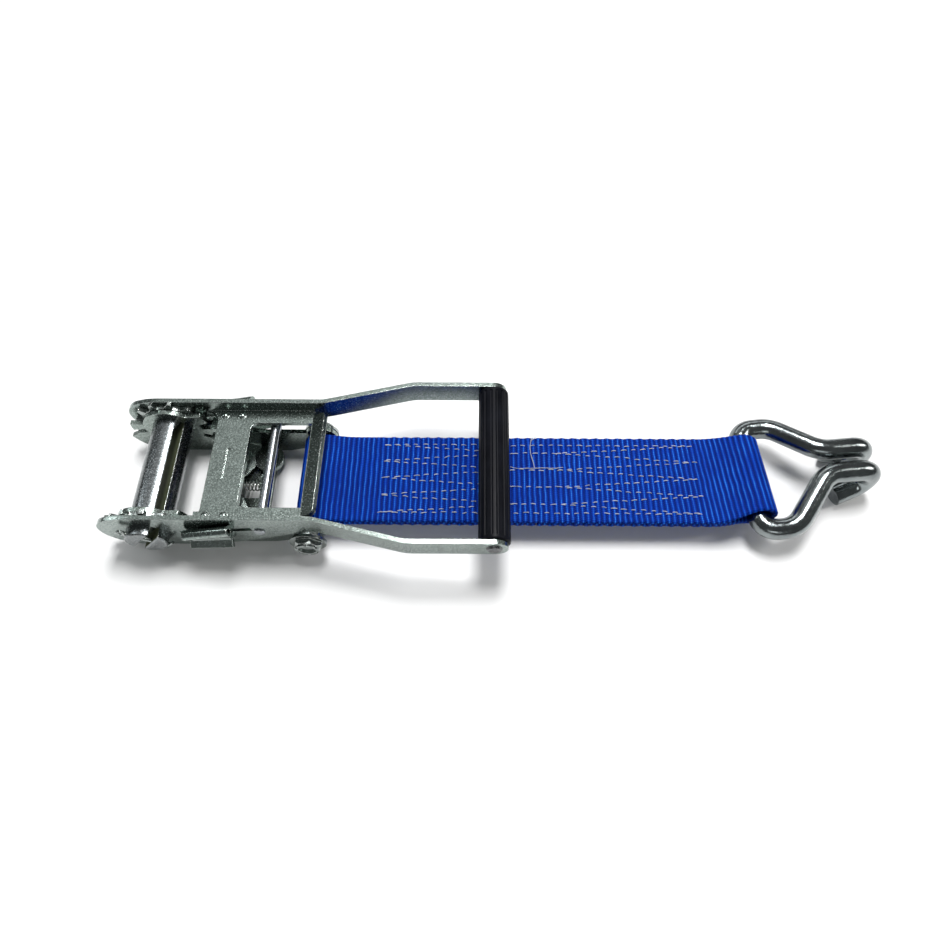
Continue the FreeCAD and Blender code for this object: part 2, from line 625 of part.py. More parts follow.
# ---- Assembly -----------------------------------------------------------------------
def build():
    halves = [make_half_shaft(1), make_half_shaft(-1)]
    wheels = {"ratchet_wheel_far": make_wheel(halves, WHEEL_INNER, WHEEL_OUTER),
              "ratchet_wheel_near": make_wheel(halves, -WHEEL_OUTER, -WHEEL_INNER)}
    drilled = [half.cut(pin_hole(PIN_Y)).cut(pin_hole(-PIN_Y)) for half in halves]
    nodes = {
        "frame": make_frame(),
        "strap_bolt": make_strap_bolt(),
        "bolt_spacer": make_bolt_spacer(),
        "lock_nut": make_lock_nut(),
        "frame_pawl_spring": make_frame_spring(),
        "half_shaft_upper": drilled[0],
        "half_shaft_lower": drilled[1],
        "split_pin_far": make_split_pin(PIN_Y),
        "split_pin_near": make_split_pin(-PIN_Y),
        "handle": make_handle(),
        "grip_sleeve": make_grip(),
        "grip_rod": make_grip_rod(),
        "cross_bar": make_cross_bar(),
        "drive_spring_far": make_drive_spring(DRIVE_SPRING_Y),
        "drive_spring_near": make_drive_spring(-DRIVE_SPRING_Y),
        "drive_pawl": make_drive_pawl(),
        "frame_pawl": make_frame_pawl(),
        "webbing": make_webbing(),
        "hook": make_hook(),
    }
    nodes.update(wheels)
    return nodes


nodes = build()
whole = Part.makeCompound(list(nodes.values())).optimalBoundingBox(True, False)
origin = V((whole.XMin + whole.XMax) / 2, (whole.YMin + whole.YMax) / 2, whole.ZMin)
print("origin offset", [round(c, 3) for c in origin], "size",
      [round(c, 2) for c in (whole.XLength, whole.YLength, whole.ZLength)])
for name, shape in nodes.items():
    shape.translate(-origin)
    shape.exportStep("parts/" + name + ".step")
    print(name, "valid", shape.isValid(), "solids", len(shape.Solids), "volume", round(shape.Volume, 1))
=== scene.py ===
import json
import math
import random

import bpy
import numpy as np
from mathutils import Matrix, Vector


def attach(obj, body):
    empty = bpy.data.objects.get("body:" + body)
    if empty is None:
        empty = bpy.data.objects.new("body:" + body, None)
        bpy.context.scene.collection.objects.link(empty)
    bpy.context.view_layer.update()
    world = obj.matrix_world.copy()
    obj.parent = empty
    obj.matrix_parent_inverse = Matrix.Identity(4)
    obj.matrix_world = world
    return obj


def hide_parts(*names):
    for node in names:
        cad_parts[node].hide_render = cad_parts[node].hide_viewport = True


# Looks of the ratchet tie down: zinc plated steel, black grip, sewn blue webbing, polished hook.
# Everything is in metres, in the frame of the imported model: +X towards the hook, Z = 0 on the floor.

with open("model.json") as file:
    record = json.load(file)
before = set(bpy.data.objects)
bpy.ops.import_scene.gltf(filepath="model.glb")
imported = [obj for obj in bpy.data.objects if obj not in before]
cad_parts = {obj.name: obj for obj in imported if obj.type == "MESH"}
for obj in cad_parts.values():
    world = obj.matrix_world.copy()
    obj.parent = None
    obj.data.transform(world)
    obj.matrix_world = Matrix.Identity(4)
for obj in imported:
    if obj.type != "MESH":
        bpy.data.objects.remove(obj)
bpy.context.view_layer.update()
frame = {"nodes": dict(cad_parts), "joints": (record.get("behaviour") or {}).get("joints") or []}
joints = {j["name"]: j for j in frame["joints"]}

MM = 0.001
AXIS = Vector(joints["handle_swing"]["pos_m"])       # spindle axis
BOLT = Vector(joints["strap_swing"]["pos_m"])        # centre of the strap bolt
EYE = Vector(joints["hook_swing"]["pos_m"])          # centre of the hook's cross bar


# ---- Camera, floor and light ----------------------------------------------------------
SENSOR = 36.0                                        # mm, as the focal length is
FOCAL_LENGTH = 25.58
NEAREST_SEEN = 0.01
CAMERA_FROM_AXIS = Vector((0.1644, -0.1606, 0.3140))
CAMERA_LIFT = math.radians(27.06)                    # up from looking straight down
CAMERA_HEADING = math.radians(0.418)

FLOOR_HALF = 6.0
FLOOR_DROP = 0.2 * MM                                # keeps the floor clear of the parts that rest on it

ROOM_COLOUR = (0.92, 0.96, 0.96, 1)
ROOM_LIGHT = 0.15
LIT_POINT = Vector((0.02, 0.0, 0.0))                 # every lamp points here
WHITE, COOL, WARM = (1, 1, 1), (0.94, 0.98, 1.0), (1.0, 0.98, 0.95)
LAMPS = (                                            # name, place, width, height, watts, tint
    ("overhead", (0.06, 0.33, 1.12), 0.30, 0.44, 14.2, WHITE),
    ("dim_card", (-0.52, 0.66, 1.25), 1.1, 0.7, 1.35, WHITE),
    ("left_strip", (-1.10, 0.30, 0.80), 0.12, 0.7, 2.2, COOL),
    ("right_strip", (1.10, 0.10, 0.80), 0.20, 0.7, 5.0, WARM),
    ("back_strip", (0.0, 1.30, 0.60), 1.4, 0.25, 3.0, WHITE),
    ("front_fill", (0.0, -1.30, 0.80), 1.0, 0.30, 2.8, WHITE),
)


def add_object(name, data):
    thing = bpy.data.objects.new(name, data)
    bpy.context.scene.collection.objects.link(thing)
    return thing


def add_camera():
    """Camera in front of the part, looking steeply down on it."""
    data = bpy.data.cameras.new("camera")
    data.sensor_width = SENSOR
    data.lens = FOCAL_LENGTH
    data.clip_start = NEAREST_SEEN
    camera = add_object("camera", data)
    camera.location = AXIS + CAMERA_FROM_AXIS
    camera.rotation_euler = (CAMERA_LIFT, 0.0, CAMERA_HEADING)
    bpy.context.scene.camera = camera


def add_floor():
    mesh = bpy.data.meshes.new("floor")
    corners = [(FLOOR_HALF * x, FLOOR_HALF * y, 0) for x, y in ((-1, -1), (1, -1), (1, 1), (-1, 1))]
    mesh.from_pydata(corners, [], [(0, 1, 2, 3)])
    mesh.materials.append(floor_material())
    floor = add_object("floor", mesh)
    floor.location.z = -FLOOR_DROP


def add_lamp(name, place, width, height, watts, tint):
    data = bpy.data.lights.new(name, "AREA")
    data.shape = "RECTANGLE"
    data.size = width
    data.size_y = height
    data.energy = watts
    data.color = tint
    lamp = add_object(name, data)
    lamp.location = place
    lamp.rotation_euler = (LIT_POINT - Vector(place)).to_track_quat("-Z", "Y").to_euler()


def add_lights():
    """Soft lamps over a dim room, so that the plating has dark and bright things to mirror."""
    world = bpy.data.worlds.new("studio")
    world.use_nodes = True
    background = world.node_tree.nodes["Background"].inputs
    background["Color"].default_value = ROOM_COLOUR
    background["Strength"].default_value = ROOM_LIGHT
    bpy.context.scene.world = world
    bpy.context.scene.view_settings.view_transform = "Standard"
    for lamp in LAMPS:
        add_lamp(*lamp)


# ---- Material helpers -----------------------------------------------------------------
class Nodes:
    """A short way to write a node tree: make nodes, set their inputs, join their sockets."""

    FACE_NORMAL = 1                                  # an output of TexCoord, and of NewGeometry
    OBJECT_PLACE = 3                                 # an output of TexCoord

    def __init__(self, name):
        self.material = bpy.data.materials.new(name)
        self.material.use_nodes = True
        self.tree = self.material.node_tree
        self.shader = self.tree.nodes["Principled BSDF"]

    def put(self, value, socket):
        """Join a socket to an input, or give the input a number, a vector or a colour."""
        if isinstance(value, bpy.types.NodeSocket):
            self.tree.links.new(value, socket)
        elif hasattr(value, "__len__") and len(value) == 3 and socket.type == "RGBA":
            socket.default_value = (*value, 1.0)
        else:
            socket.default_value = value

    def make(self, kind, output=0, settings=None, **inputs):
        """A node's output. Inputs go by name, or by number as i0, i1 and so on."""
        node = self.tree.nodes.new("ShaderNode" + kind)
        for key, value in (settings or {}).items():
            setattr(node, key, value)
        for key, value in inputs.items():
            socket = node.inputs[int(key[1:]) if key[1:].isdigit() else key.replace("_", " ")]
            self.put(value, socket)
        return node.outputs[output]

    def set(self, **inputs):
        """Set inputs of the surface shader."""
        for key, value in inputs.items():
            self.put(value, self.shader.inputs[key.replace("_", " ")])

    def place(self, scale=(1, 1, 1), turn=(0, 0, 0)):
        where = self.make("TexCoord", output=self.OBJECT_PLACE)
        return self.make("Mapping", Vector=where, Scale=scale, Rotation=turn)

    def math(self, operation, first, second=0.0):
        return self.make("Math", settings={"operation": operation}, i0=first, i1=second)

    def times(self, first, second):
        return self.math("MULTIPLY", first, second)

    def plus(self, first, second):
        return self.math("ADD", first, second)

    def dot(self, first, second):
        settings = {"operation": "DOT_PRODUCT"}
        node = self.make("VectorMath", settings=settings, i0=first, i1=second).node
        return node.outputs["Value"]

    def noise(self, scale, detail=3.0, rough=0.55, where=None):
        where = where if where is not None else self.place()
        return self.make("TexNoise", Vector=where, Scale=scale, Detail=detail, Roughness=rough)

    def ramp(self, value, low, high, to_low=0.0, to_high=1.0):
        """A value's span low to high, stretched to to_low to to_high and clamped there."""
        settings = {"clamp": True}
        return self.make("MapRange", settings=settings, i0=value, i1=low, i2=high, i3=to_low, i4=to_high)

    def mix(self, share, first, second):
        """First colour where share is 0, second where it is 1."""
        settings = {"data_type": "RGBA"}
        return self.make("Mix", output=2, settings=settings, i0=share, i6=first, i7=second)

    def bump(self, height, strength, distance, below=None):
        inputs = {} if below is None else {"Normal": below}
        return self.make("Bump", Strength=strength, Distance=distance, Height=height, **inputs)

    def bright_edges(self, radius):
        """The normal rounded over edges, and a mask: 1 on edges, which get wear and a painted highlight, 0 on
        flat faces.
        """
        rounded = self.make("Bevel", settings={"samples": 6}, Radius=radius)
        true = self.make("NewGeometry", output=self.FACE_NORMAL)
        return rounded, self.ramp(self.dot(rounded, true), 0.995, 0.90)


# ---- Materials ------------------------------------------------------------------------
FLOOR_TONES = (0.86, 0.86, 0.86), (0.89, 0.89, 0.89)

EDGE_RADIUS = 0.35 * MM                              # how wide the rounded edges of the plating are, which get wear and a painted highlight
GLINT = (0.84, 0.86, 0.84)
# Edge colour: part wear, part painted highlight
RUBBED_HIGHLIT_EDGE = (0.82, 0.84, 0.82)
# Painted shade for the flat faces inside the spindle slot
SLOT_PAINTED_SHADE = (0.085, 0.100, 0.055)
SLOT_ANGLE = math.radians(50.0)                      # the spindle slot's lie, up from +X

WIRE_TONES = (0.15, 0.165, 0.17), (0.28, 0.31, 0.31)
WIRE_PIT = (0.10, 0.11, 0.12)
GRIP_TONES = (0.0025, 0.0028, 0.0045), (0.006, 0.0068, 0.010)

WEB_GROOVE_SHADE = (0.0001, 0.0015, 0.050)                   # painted shade between the ribs
WEB_BLUE = (0.0005, 0.026, 0.31)
WEB_YARN = (0.0009, 0.052, 0.45)
WEB_CREST = (0.045, 0.33, 0.95)                      # lit tops of the ribs
WEB_FUZZ = (0.004, 0.12, 0.62)
WEB_SHADE = (0.0002, 0.008, 0.15)
THREAD_TONES = (0.22, 0.25, 0.36), (0.48, 0.50, 0.60)


def scaled(colour, by):
    return tuple(by * c for c in colour)


def floor_material():
    n = Nodes("pale_floor")
    tone = n.ramp(n.noise(3.0), 0.3, 0.7)
    n.set(Base_Color=n.mix(tone, *FLOOR_TONES), Roughness=0.75)
    return n.material


def zinc_material(name, light, dark, rough, grain=1.0, edge=EDGE_RADIUS, painted_shade_side=None):
    """Zinc plating: crystal speckle under a cloudy tint, glints, dull pits, and edges painted bright for wear
    and as a painted highlight.

    Faces that look along the given side, if a side is given, get painted shade: dark olive, matte and not
    metallic.
    """
    n = Nodes(name)
    n.set(Metallic=1.0)
    rounded, worn_highlit = n.bright_edges(edge)
    crystal = n.noise(1150.0 * grain, 3.0, 0.7)
    glint = n.noise(1900.0 * grain, 2.0, 0.6)
    cloud = n.noise(90.0, 4.0, 0.6)
    pit = n.make("TexVoronoi", Vector=n.place(), Scale=700.0 * grain)
    body = n.mix(n.ramp(crystal, 0.41, 0.60), dark, light)
    tint = n.mix(n.ramp(cloud, 0.35, 0.7), scaled(light, 0.84), body)
    body = n.mix(0.4, body, tint)
    body = n.mix(n.times(n.ramp(glint, 0.58, 0.70), 0.5), body, GLINT)
    body = n.mix(n.times(n.ramp(pit, 0.18, 0.06), 0.4), body, scaled(dark, 0.45))
    # Edges painted bright: part wear, part painted highlight
    body = n.mix(n.times(worn_highlit, 0.6), body, RUBBED_HIGHLIT_EDGE)
    gloss = n.ramp(crystal, 0.3, 0.7, rough - 0.05, rough + 0.09)
    # Painted shade: faces that look along the given side turn dark olive, matte and not metallic
    if painted_shade_side is not None:
        facing = n.dot(n.make("TexCoord", output=n.FACE_NORMAL), painted_shade_side)
        painted_shade_share = n.ramp(facing, 0.985, 0.995)
        body = n.mix(painted_shade_share, body, SLOT_PAINTED_SHADE)
        gloss = n.ramp(painted_shade_share, 0.0, 1.0, gloss, 0.8)
        n.set(Metallic=n.ramp(painted_shade_share, 0.0, 1.0, 1.0, 0.0),
              Specular_IOR_Level=n.ramp(painted_shade_share, 0.0, 1.0, 0.5, 0.08))
    height = n.plus(n.times(crystal, 0.6), n.times(glint, 0.4))
    n.set(Base_Color=body, Roughness=gloss, Normal=n.bump(height, 0.25, 0.08 * MM, rounded))
    return n.material


def polished_material():
    """Bright plated wire: mirror-like, with faint ripples, pits and a smoky tint in the plating."""
    n = Nodes("polished_wire")
    ripple = n.noise(420.0, 4.0, 0.6)
    pits = n.noise(1300.0, 2.0, 0.6)
    cloud = n.noise(60.0, 3.0, 0.55)
    tone = n.mix(n.ramp(cloud, 0.35, 0.68), *WIRE_TONES)
    tone = n.mix(n.times(n.ramp(pits, 0.66, 0.76), 0.5), tone, WIRE_PIT)
    height = n.plus(n.times(ripple, 0.65), n.times(pits, 0.35))
    n.set(Base_Color=tone, Metallic=1.0, Roughness=n.ramp(ripple, 0.3, 0.7, 0.11, 0.20),
          Normal=n.bump(height, 0.6, 0.3 * MM))
    return n.material


def grip_material():
    """Black moulded plastic, a little shiny on its ridges, with fine drawn lines along it."""
    n = Nodes("black_grip")
    grain = n.noise(2200.0, 2.0, 0.5)
    lines = n.noise(1400.0, 2.0, 0.5, n.place(scale=(1.0, 0.03, 1.0)))
    smudge = n.noise(70.0, 3.0, 0.6)
    tone = n.mix(n.ramp(smudge, 0.35, 0.7), *GRIP_TONES)
    height = n.plus(n.times(grain, 0.5), n.times(lines, 0.5))
    n.set(Base_Color=tone, Roughness=n.ramp(smudge, 0.3, 0.7, 0.34, 0.46), Specular_IOR_Level=0.07,
          Normal=n.bump(height, 0.15, 0.06 * MM))
    return n.material


def webbing_material(yarn, rib):
    """Blue polyester webbing. UV: across and along, in metres. Yarns run lengthwise over the ribs."""
    n = Nodes("blue_webbing")
    across = n.make("SeparateXYZ", Vector=n.make("UVMap"))
    along = across.node.outputs[1]

    wander = n.ramp(n.noise(130.0, 2.0), 0.3, 0.7, -0.07, 0.07)
    rib_at = n.plus(n.math("DIVIDE", along, rib), wander)
    rib_wave = n.math("COSINE", n.times(rib_at, 2 * math.pi))
    rib_height = n.plus(n.times(rib_wave, -0.5), 0.5)

    half_step = n.times(n.math("FLOORED_MODULO", n.math("FLOOR", rib_at), 2.0), 0.5)
    yarn_at = n.plus(n.math("DIVIDE", across, yarn), half_step)
    wobble = n.times(n.noise(700.0, 2.0), 0.25)
    yarn_wave = n.math("SINE", n.times(n.plus(yarn_at, wobble), 2 * math.pi))
    yarn_height = n.plus(n.times(yarn_wave, 0.5), 0.5)

    twist = n.noise(5200.0, 2.0, 0.6, n.place(scale=(1.0, 0.4, 1.0)))
    fuzz = n.noise(2600.0, 3.0, 0.7)
    cloud = n.noise(55.0, 3.0, 0.6)
    patchy = n.noise(160.0, 3.0, 0.6, n.place(scale=(1.0, 0.5, 1.0)))

    crest = n.times(n.ramp(rib_height, 0.93, 1.0), n.ramp(yarn_height, 0.1, 0.9, 0.25, 1.0))
    crest = n.times(crest, n.ramp(patchy, 0.38, 0.62, 0.25, 1.0))
    # Painted shade: darker down in the grooves between the ribs
    tone = n.mix(n.ramp(rib_height, 0.05, 0.80), WEB_GROOVE_SHADE, WEB_BLUE)
    tone = n.mix(n.times(n.ramp(yarn_height, 0.45, 1.0), 0.55), tone, WEB_YARN)
    tone = n.mix(crest, tone, WEB_CREST)
    tone = n.mix(n.times(n.ramp(fuzz, 0.55, 0.75), 0.35), tone, WEB_FUZZ)
    tone = n.mix(n.times(n.ramp(cloud, 0.3, 0.6, 1.0, 0.0), 0.30), tone, WEB_SHADE)

    height = n.plus(n.times(yarn_height, 0.55), n.times(twist, 0.25))
    height = n.plus(height, n.times(fuzz, 0.20))
    n.set(Base_Color=tone, Roughness=n.ramp(fuzz, 0.3, 0.7, 0.50, 0.66), Specular_IOR_Level=0.06,
          Normal=n.bump(height, 0.9, 0.28 * MM))
    return n.material


def thread_material():
    """Pale polyester sewing thread, with the ply's diagonal twist."""
    n = Nodes("pale_thread")
    twist = n.make("TexWave", output=1, Vector=n.place(turn=(0, 0, 0.6)), Scale=900.0, Distortion=2.0)
    soil = n.noise(160.0, 3.0)
    tone = n.mix(n.ramp(soil, 0.35, 0.7), *THREAD_TONES)
    n.set(Base_Color=tone, Roughness=0.62, Sheen_Weight=0.3, Normal=n.bump(twist, 0.5, 0.08 * MM))
    return n.material


def dress(material, *names):
    for name in names:
        mesh = frame["nodes"][name].data
        mesh.materials.clear()
        mesh.materials.append(material)


def dress_cad():
    """Give every CAD node its material. Each plating has its light and dark crystal and roughness."""
    sheet = zinc_material("zinc_sheet", (0.335, 0.395, 0.365), (0.13, 0.16, 0.14), 0.22)
    press = zinc_material("zinc_pressing", (0.35, 0.41, 0.385), (0.115, 0.145, 0.130), 0.20, 1.1)
    bright = zinc_material("zinc_bright", (0.45, 0.49, 0.475), (0.21, 0.24, 0.225), 0.17, 1.2)
    bar = zinc_material("cross_bar_plating", (0.46, 0.49, 0.52), (0.28, 0.30, 0.32), 0.16, 1.2)
    dark = zinc_material("rod_dark", (0.11, 0.115, 0.12), (0.045, 0.045, 0.05), 0.24, 1.2)
    wire = zinc_material("spring_wire", (0.55, 0.56, 0.54), (0.36, 0.37, 0.36), 0.22, 2.0, 0.1 * MM)
    shaft = (0.245, 0.265, 0.275), (0.095, 0.108, 0.108), 0.22
    # The shafts' flat faces inside the slot get painted shade
    across_slot = (math.sin(SLOT_ANGLE), 0.0, -math.cos(SLOT_ANGLE))
    upper = zinc_material("shaft_upper", *shaft, painted_shade_side=across_slot)
    lower = zinc_material("shaft_lower", *shaft, painted_shade_side=scaled(across_slot, -1))
    dress(sheet, "frame")
    dress(press, "handle", "drive_pawl", "frame_pawl")
    dress(bright, "strap_bolt", "bolt_spacer", "lock_nut", "split_pin_far", "split_pin_near",
          "ratchet_wheel_far", "ratchet_wheel_near")
    dress(bar, "cross_bar")
    dress(dark, "grip_rod")
    dress(wire, "frame_pawl_spring", "drive_spring_far", "drive_spring_near")
    dress(upper, "half_shaft_upper")
    dress(lower, "half_shaft_lower")
    dress(grip_material(), "grip_sleeve")
    dress(polished_material(), "hook")


# ---- Webbing --------------------------------------------------------------------------
WIDTH = 50.0 * MM
THICK = 2.6 * MM
LAYER_Z = 15.9 * MM                                  # between the two sewn layers
LOW, HIGH = LAYER_Z - THICK / 2, LAYER_Z + THICK / 2  # middles of the two layers
BUTT = AXIS.x + 0.195                                # where the strip's two cut ends meet
BUTT_GAP = 0.2 * MM                                  # from there to each cut end

BOLT_TURN = 6.6 * MM                                 # radius of the webbing's middle round the bolt
HOOK_TURN = 7.9 * MM
NECK_BOLT = 22.0 * MM                                # run in which an eye closes to the flat layers
NECK_HOOK = 25.0 * MM
NECK_LEAN = 1.35                                     # how much steeper an eye closes than a straight run
NECK_REACH = 0.4                                     # share of the neck that bends near the layers
EYE_REACH = 0.7                                      # the same near the eye, as a share of that
NECK_POINTS, TURN_POINTS = 30, 60
STEP = 0.3 * MM                                      # spacing of the rings along the strip
COLUMNS = 53                                         # points across the strip

SKEW = math.tan(math.radians(4.5))                   # the hook's fold lies askew
SKEW_FROM = AXIS.x + 0.235
SKEW_TO = AXIS.x + 0.300
PINCH_NEAR = 5.2 * MM                                # how far the edges draw in inside the hook's eye
PINCH_FAR = 0.3 * MM
PINCH_RUN = 24.0 * MM

YARN = 1.05 * MM
RIB = 2.7 * MM                                       # spacing of the cross ribs
RIB_DEPTH = 0.30 * MM
RIB_ROUND = 0.8                                      # under 1 gives broad ribs with narrow grooves
RIB_LEVEL = 0.6                                      # share of a rib's depth that lies inside the skin
EDGE_SHARE = 0.045                                   # half width over which the edge rounds off
EDGE_THICK = 0.30                                    # thickness left at the very edge
SELVEDGE = 0.9                                       # beyond this share of the half width it is scalloped
SCALLOP = 0.16 * MM
RIB_DRIFT = 0.35                                     # mm that ribs stray across the width
RIB_WANDER = 0.25                                    # mm that they stray along the strip
DRIFT_POINTS, WANDER_POINTS = 7, 60

PUCKER_PITCH = 6.1 * MM                              # the stitches pull the webbing into long ripples
PUCKER_DEPTH = 0.096 * MM
PUCKER_EDGE = 0.22 * MM
PUCKER_FROM = AXIS.x + 0.108, AXIS.x + 0.120         # they fade in here
PUCKER_TO = AXIS.x + 0.278, AXIS.x + 0.290           # and out here


def smooth(value, low, high):
    t = np.clip((value - low) / (high - low), 0.0, 1.0)
    return t * t * (3 - 2 * t)


def bezier(points, count):
    a, b, c, d = (np.array(p) for p in points)
    t = np.linspace(0, 1, count)[:, None]
    return (1 - t) ** 3 * a + 3 * (1 - t) ** 2 * t * b + 3 * (1 - t) * t ** 2 * c + t ** 3 * d


def eye_path(centre, radius, neck, towards):
    """One eye in (x, z): from the lower layer, round the bar and back to the upper layer."""
    neck_x = centre.x + towards * neck
    lean_low = NECK_LEAN * math.atan2(LOW - (centre.z - radius), neck)
    lean_high = NECK_LEAN * math.atan2(centre.z + radius - HIGH, neck)
    turns = np.linspace(-math.pi / 2 - lean_low, math.pi / 2 + lean_high, TURN_POINTS)
    ring = np.stack([centre.x - towards * radius * np.cos(turns),
                     centre.z + radius * np.sin(turns)], axis=1)
    reach = neck * NECK_REACH
    into = np.array([towards * math.cos(lean_low), math.sin(lean_low)]) * reach * EYE_REACH
    back = np.array([towards * math.cos(lean_high), -math.sin(lean_high)]) * reach * EYE_REACH
    lower = bezier([(neck_x, LOW), (neck_x - towards * reach, LOW), ring[0] + into, ring[0]], NECK_POINTS)
    upper = bezier([ring[-1], ring[-1] + back, (neck_x - towards * reach, HIGH), (neck_x, HIGH)], NECK_POINTS)
    return np.concatenate([lower[:-1], ring, upper[1:]])


def strap_path():
    """Middle line of the webbing in (x, z), and how far along the strip each of its points is."""
    hook_eye = eye_path(EYE, HOOK_TURN, NECK_HOOK, -1)
    bolt_eye = eye_path(BOLT, BOLT_TURN, NECK_BOLT, 1)[::-1]
    line = np.concatenate([[(BUTT + BUTT_GAP, LOW)], hook_eye, bolt_eye, [(BUTT - BUTT_GAP, LOW)]])
    steps = np.hypot(*np.diff(line, axis=0).T)
    run = np.concatenate([[0], np.cumsum(steps)])
    at = np.linspace(0, run[-1], int(run[-1] / STEP))
    return np.stack([np.interp(at, run, line[:, 0]), np.interp(at, run, line[:, 1])], axis=1), at


def half_width(x, pinch):
    """Half width of the webbing at x, on the side that draws in by pinch at the hook."""
    return WIDTH / 2 - pinch * smooth(x, EYE.x - PINCH_RUN, EYE.x)


def puckered(x):
    """How deeply the stitches pull the webbing in along its length, 0 to 1."""
    return smooth(x, *PUCKER_FROM) * smooth(-x, -PUCKER_TO[1], -PUCKER_TO[0])


def wavy(rng, where, count, size):
    """A smooth random line through count points: millimetres in size, metres out."""
    return np.interp(where, np.linspace(where[0], where[-1], count), rng.uniform(-size, size, count)) * MM


def webbing_skin(line, run):
    """The webbing's skin as an array: along the strip, once round its section, and x, y, z."""
    ahead = np.gradient(line, axis=0)
    ahead /= np.linalg.norm(ahead, axis=1)[:, None]
    normal = np.stack([-ahead[:, 1], ahead[:, 0]], axis=1)
    x = line[:, 0]
    pull = puckered(x)
    skew = SKEW * smooth(x, SKEW_FROM, SKEW_TO)

    across = np.linspace(-1, 1, COLUMNS)
    shoulder = np.clip((1 - np.abs(across)) / EDGE_SHARE, 0, 1)
    half_thick = THICK / 2 * (EDGE_THICK + (1 - EDGE_THICK) * np.sqrt(1 - (1 - shoulder) ** 2))
    rng = np.random.default_rng(7)
    drift = wavy(rng, across, DRIFT_POINTS, RIB_DRIFT)
    wander = wavy(rng, run, WANDER_POINTS, RIB_WANDER)

    def strand(k, side):
        """One line of the skin along the strip: column k, on its outer (-1) or inner (+1) face."""
        v = across[k]
        rib = np.abs(np.sin(math.pi * (run + drift[k] + 0.5 * wander) / RIB)) ** RIB_ROUND
        ripple = np.sin(2 * math.pi * (run + 2 * drift[k]) / PUCKER_PITCH) * pull
        relief = (rib - RIB_LEVEL) * RIB_DEPTH + ripple * PUCKER_DEPTH
        where = line + side * normal * (half_thick[k] + relief * shoulder[k])[:, None]
        y = v * half_width(x, PINCH_FAR if v > 0 else PINCH_NEAR)
        if abs(v) > SELVEDGE:
            y += v * (SCALLOP * rib + PUCKER_EDGE * np.sin(2 * math.pi * run / PUCKER_PITCH) * pull)
        return np.stack([where[:, 0] + skew * (EYE.y - y), y, where[:, 1]], axis=1)

    outer = [strand(k, -1) for k in range(COLUMNS)]
    inner = [strand(k, 1) for k in range(COLUMNS - 2, 0, -1)]
    return np.stack(outer + inner, axis=1)


def tube_faces(rings, around):
    """Faces of a closed tube of so many rings, each of so many points."""
    faces = []
    for i in range(rings - 1):
        a, b = i * around, (i + 1) * around
        faces += [(a + k, a + (k + 1) % around, b + (k + 1) % around, b + k) for k in range(around)]
    faces.append(tuple(reversed(range(around))))
    faces.append(tuple(range((rings - 1) * around, rings * around)))
    return faces


def make_webbing():
    """The strap as one strip folded round the bolt and the hook, and the strip's length."""
    line, run = strap_path()
    skin = webbing_skin(line, run)
    around = skin.shape[1]
    vertices = skin.reshape(-1, 3)
    mesh = bpy.data.meshes.new("webbing_strap")
    mesh.from_pydata(vertices.tolist(), [], tube_faces(len(line), around))
    index = np.empty(len(mesh.loops), dtype=np.int32)
    mesh.loops.foreach_get("vertex_index", index)
    uv = np.stack([vertices[index, 1], run[index // around]], axis=1)
    mesh.uv_layers.new(name="UVMap").data.foreach_set("uv", uv.astype(np.float32).ravel())
    mesh.shade_smooth()
    mesh.update()
    mesh.materials.append(webbing_material(YARN, RIB))
    strap = add_object("webbing_strap", mesh)
    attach(strap, "strap")
    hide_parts("webbing")
    return strap, float(run[-1])


# ---- Stitching ------------------------------------------------------------------------
ROWS = 5                                             # points of the zigzag at each end of the seam
ROW_SPAN = 20.0 * MM                                 # outer rows, from the middle of the webbing
SEAM_START = AXIS.x + 0.113
MERGE_FROM = AXIS.x + 0.184                          # neighbouring rows run together from here
MERGE_TO = AXIS.x + 0.206                            # to here
SEAM_END = AXIS.x + 0.281
PITCH = 5.2 * MM
DASH = 2.9 * MM                                      # length of thread seen at each stitch
THREAD_R = 0.27 * MM
THREAD_SIDES = 6
STITCH_LIFT = 0.05 * MM
STITCH_ARC = (                                       # share of the dash, height in mm, share of thread
    (-0.5, -0.55, 0.7), (-0.40, 0.10, 0.95), (-0.18, 0.32, 1.0),
    (0.18, 0.34, 1.0), (0.40, 0.12, 0.95), (0.5, -0.55, 0.7),
)
LOOSE_R = 0.8 * THREAD_R
LOOSE_LIFT = 0.42 * MM                               # the loose thread lies this high on the webbing
LOOSE_WAVE = 0.12 * MM
LOOSE_DIVE = 0.3 * MM                                # and its ends go down by this


def seam_lines():
    """The seam as a list of (x, y) lines: straight outer rows, and rows that zigzag between them."""
    tips = [ROW_SPAN - 2 * ROW_SPAN * k / (ROWS - 1) for k in range(ROWS)]
    lines = [[(SEAM_START, tip), (SEAM_END, tip)] for tip in (tips[0], tips[-1])]
    for upper, lower in zip(tips, tips[1:]):
        middle = (upper + lower) / 2
        lines.append([(SEAM_START, upper), (MERGE_FROM, middle), (MERGE_TO, middle), (SEAM_END, upper)])
        lines.append([(SEAM_START, lower), (MERGE_FROM, middle)])
        lines.append([(MERGE_TO, middle), (SEAM_END, lower)])
    return lines


def skewed(x, y):
    return x + SKEW * float(smooth(x, SKEW_FROM, SKEW_TO)) * (EYE.y - y)


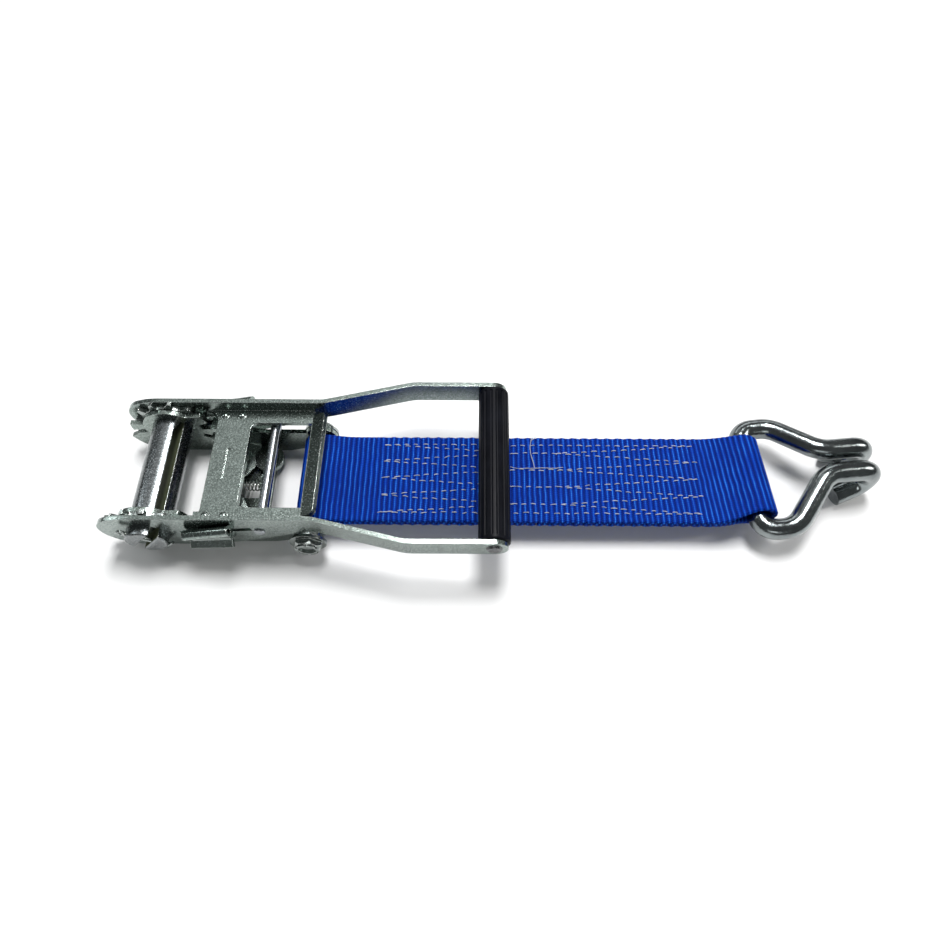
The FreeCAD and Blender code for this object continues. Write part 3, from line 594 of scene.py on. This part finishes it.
def tube(points, radii):
    """Vertices and faces of a closed round thread through the points."""
    points = [Vector(p) for p in points]
    last = len(points) - 1
    vertices = []
    for i, (point, radius) in enumerate(zip(points, radii)):
        heading = (points[min(i + 1, last)] - points[max(i - 1, 0)]).normalized()
        side = heading.cross(Vector((0, 0, 1)))
        side = side.normalized() if side.length > 1e-6 else Vector((0, 1, 0))
        up = side.cross(heading)
        for k in range(THREAD_SIDES):
            angle = 2 * math.pi * k / THREAD_SIDES
            vertices.append(point + radius * (math.cos(angle) * side + math.sin(angle) * up))
    return vertices, tube_faces(len(points), THREAD_SIDES)


def stitch(x, y, dash, tilt, z, up):
    """One stitch: comes up out of the webbing, lies on it and goes down again."""
    dx, dy = dash * math.cos(tilt), dash * math.sin(tilt)
    points = [(x + t * dx, y + t * dy, z + up * h * MM) for t, h, _ in STITCH_ARC]
    return tube(points, [THREAD_R * share for _, _, share in STITCH_ARC])


def stitches(line, z, up, rng):
    """The stitches of one line of the seam, each a little off its place."""
    at = rng.uniform(0.2, 0.9) * PITCH
    for (x0, y0), (x1, y1) in zip(line, line[1:]):
        length = math.hypot(x1 - x0, y1 - y0)
        while at < length:
            share = at / length
            y = y0 + share * (y1 - y0) + rng.gauss(0, 0.16) * MM
            x = skewed(x0 + share * (x1 - x0), y)
            dash = DASH * rng.uniform(0.78, 1.18)
            tilt = math.atan2(y1 - y0, x1 - x0) + rng.gauss(0, 0.09)
            yield stitch(x, y, dash, tilt, z + up * STITCH_LIFT, up)
            at += PITCH * rng.uniform(0.94, 1.06)
        at -= length


def relaxed(points):
    """The line through the points, with three more between each pair, and its corners rounded."""
    fine = []
    for a, b in zip(points, points[1:]):
        fine += [(a[0] + t * (b[0] - a[0]), a[1] + t * (b[1] - a[1])) for t in (0.0, 0.25, 0.5, 0.75)]
    fine = np.array(fine + [points[-1]])
    for _ in range(4):
        fine[1:-1] = (fine[:-2] + fine[1:-1] + fine[2:]) / 3
    return fine


def loose_thread():
    """A thread end left on top of the seam: across the webbing, then along one of its rows."""
    top = LAYER_Z + THICK + LOOSE_LIFT
    row = ROW_SPAN / ROWS * 1.45
    x = AXIS.x + 0.193
    tail = [(x + 1.4 * MM, 24.8 * MM), (x + 0.2 * MM, 22.5 * MM), (x - 0.4 * MM, 18.0 * MM),
            (x, 14.0 * MM), (x + 1.2 * MM, 10.0 * MM), (x + 1.8 * MM, row)]
    along = [(x - 11.0 * MM, row + 0.9 * MM), (x - 8.0 * MM, row - 0.3 * MM),
             (x - 3.0 * MM, row + 0.1 * MM), (x + 2.0 * MM, row), (x + 7.0 * MM, row + 0.5 * MM),
             (x + 12.0 * MM, row - 0.1 * MM), (x + 17.0 * MM, row + 0.8 * MM)]
    whisker = [(x + 0.1 * MM, 22.8 * MM), (x + 1.6 * MM, 23.6 * MM), (x + 2.9 * MM, 24.9 * MM)]
    for points in (tail, along, whisker):
        flat = relaxed(points)
        heights = [top + LOOSE_WAVE * math.sin(2.3 * i) for i in range(len(flat))]
        heights[0] = heights[-1] = top - LOOSE_DIVE
        yield tube([(px, py, pz) for (px, py), pz in zip(flat, heights)], [LOOSE_R] * len(flat))


def make_stitching():
    """Both sides of the seam and the loose thread, as one piece."""
    rng = random.Random(11)
    parts = []
    for z, up in ((LAYER_Z + THICK, 1), (LAYER_Z - THICK, -1)):
        for line in seam_lines():
            parts += stitches(line, z, up, rng)
    parts += loose_thread()
    vertices, faces = [], []
    for part_vertices, part_faces in parts:
        start = len(vertices)
        vertices += [tuple(v) for v in part_vertices]
        faces += [tuple(start + i for i in face) for face in part_faces]
    mesh = bpy.data.meshes.new("seam_thread")
    mesh.from_pydata(vertices, [], faces)
    mesh.shade_smooth()
    mesh.materials.append(thread_material())
    seam = add_object("seam_thread", mesh)
    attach(seam, "strap")
    return seam


add_camera()
add_floor()
add_lights()
dress_cad()
strap, cut_length = make_webbing()
seam = make_stitching()
